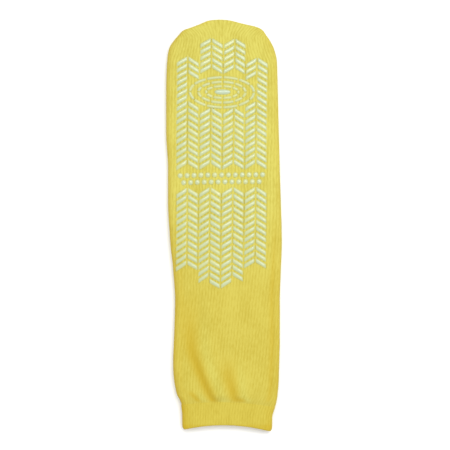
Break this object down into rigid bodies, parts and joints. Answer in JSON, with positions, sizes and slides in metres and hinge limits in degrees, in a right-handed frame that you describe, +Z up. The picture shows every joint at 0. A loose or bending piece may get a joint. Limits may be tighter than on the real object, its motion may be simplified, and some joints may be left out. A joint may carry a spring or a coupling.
{
  "type": "slipper sock",
  "caption": "Knitted tube slipper sock lying flat, hollow and open at a turned cuff, with a raised non-slip tread print of slanting bars and ovals on its sole face.",
  "frame": {"origin": "bottom centre of the sock's own box, on the floor it lies on", "axes": "+Y from the cuff to the toe, +Z up out of the tread face, +X to the right seen from above with the toe pointing away"},
  "size_m": [0.1044, 0.3698, 0.0126],
  "materials": {
    "knit": "fine ribbed stretch knit, matt",
    "welt": "double turned welt, matt",
    "seam": "linked seam thread",
    "grip_print": "pale translucent soft print, satin"
  },
  "bodies": {
    "root": {"cuff_band": "welt", "foot_tube": "knit", "grip_dots_lower": "grip_print", "grip_dots_upper": "grip_print", "leg_tube": "knit", "toe_seam": "seam", "tread_forefoot_row_01": "grip_print", "tread_forefoot_row_02": "grip_print", "tread_forefoot_row_03": "grip_print", "tread_forefoot_row_04": "grip_print", "tread_forefoot_row_05": "grip_print", "tread_forefoot_row_06": "grip_print", "tread_forefoot_row_07": "grip_print", "tread_forefoot_row_08": "grip_print", "tread_forefoot_row_09": "grip_print", "tread_forefoot_row_10_left": "grip_print", "tread_forefoot_row_10_right": "grip_print", "tread_forefoot_row_11_left": "grip_print", "tread_forefoot_row_11_right": "grip_print", "tread_forefoot_row_12_left": "grip_print", "tread_forefoot_row_12_right": "grip_print", "tread_forefoot_row_13_left": "grip_print", "tread_forefoot_row_13_right": "grip_print", "tread_forefoot_row_14_left": "grip_print", "tread_forefoot_row_14_right": "grip_print", "tread_forefoot_row_15_left": "grip_print", "tread_forefoot_row_15_right": "grip_print", "tread_forefoot_row_16": "grip_print", "tread_forefoot_row_17": "grip_print", "tread_forefoot_row_18": "grip_print", "tread_forefoot_row_19": "grip_print", "tread_forefoot_row_20": "grip_print", "tread_heel_row_01": "grip_print", "tread_heel_row_02": "grip_print", "tread_heel_row_03": "grip_print", "tread_heel_row_04": "grip_print", "tread_heel_row_05": "grip_print", "tread_heel_row_06": "grip_print", "tread_heel_row_07": "grip_print", "tread_heel_row_08": "grip_print", "tread_heel_row_09": "grip_print", "tread_heel_row_10": "grip_print", "tread_heel_row_11": "grip_print", "tread_heel_row_12": "grip_print", "tread_heel_row_13": "grip_print", "tread_heel_row_14": "grip_print", "tread_heel_row_15": "grip_print", "tread_oval_heart": "grip_print", "tread_oval_inner": "grip_print", "tread_oval_middle": "grip_print", "tread_oval_outer": "grip_print"}
  },
  "joints": []
}
